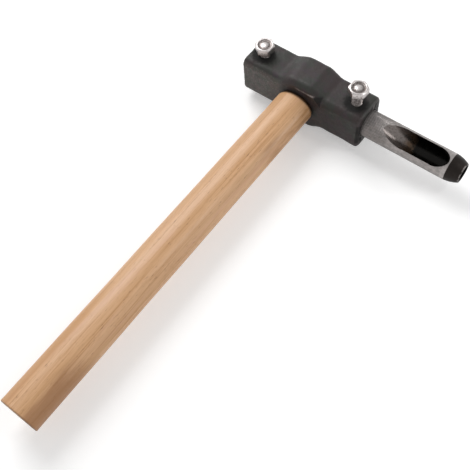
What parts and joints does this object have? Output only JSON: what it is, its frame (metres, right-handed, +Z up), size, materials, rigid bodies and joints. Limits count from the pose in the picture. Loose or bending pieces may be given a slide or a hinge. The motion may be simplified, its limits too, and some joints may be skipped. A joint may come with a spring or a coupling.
{
  "type": "mushroom inoculation hammer",
  "caption": "Hand hammer with an oval wooden handle and a forged head whose end sockets take hollow punches, held by hexagon clamp bolts. A punch with a side window is fitted in front.",
  "frame": {"origin": "on the flat of the lower cheek, straight below the middle of the eye, with the hammer lying on its side", "axes": "+X along the head towards the fitted punch, +Y along the handle towards the head, so the handle lies along -Y, +Z up out of the side with the clamp bolts"},
  "size_m": [0.1779, 0.3187, 0.0529],
  "materials": {
    "forged_steel": "black forging scale, rough, worn lighter on the edges",
    "handle_wood": "sanded light hardwood under thin varnish, dark open grain",
    "wedge_wood": "sawn hardwood, darker than the handle",
    "wedge_steel": "plain steel, hammered",
    "punch_steel": "dull bright steel with a fine diamond knurl; blackened tip and inside",
    "bolt_steel": "zinc-plated steel, slightly dull"
  },
  "bodies": {
    "hammer": {"head": "forged_steel", "handle": "handle_wood", "wooden_wedge": "wedge_wood", "steel_wedge": "wedge_steel"},
    "punch_body": {"punch": "punch_steel"},
    "front_bolt_body": {"front_bolt": "bolt_steel"},
    "rear_bolt_body": {"rear_bolt": "bolt_steel"}
  },
  "joints": [
    {"name": "punch_slide", "type": "slide", "parent": "hammer", "child": "punch_body", "axis": [1, 0, 0], "range_m": [0, 0.03]},
    {"name": "front_bolt_travel", "type": "slide", "parent": "hammer", "child": "front_bolt_body", "axis": [0, 0, 1], "range_m": [0, 0.01]},
    {"name": "rear_bolt_travel", "type": "slide", "parent": "hammer", "child": "rear_bolt_body", "axis": [0, 0, 1], "range_m": [-0.0038, 0.01]}
  ]
}
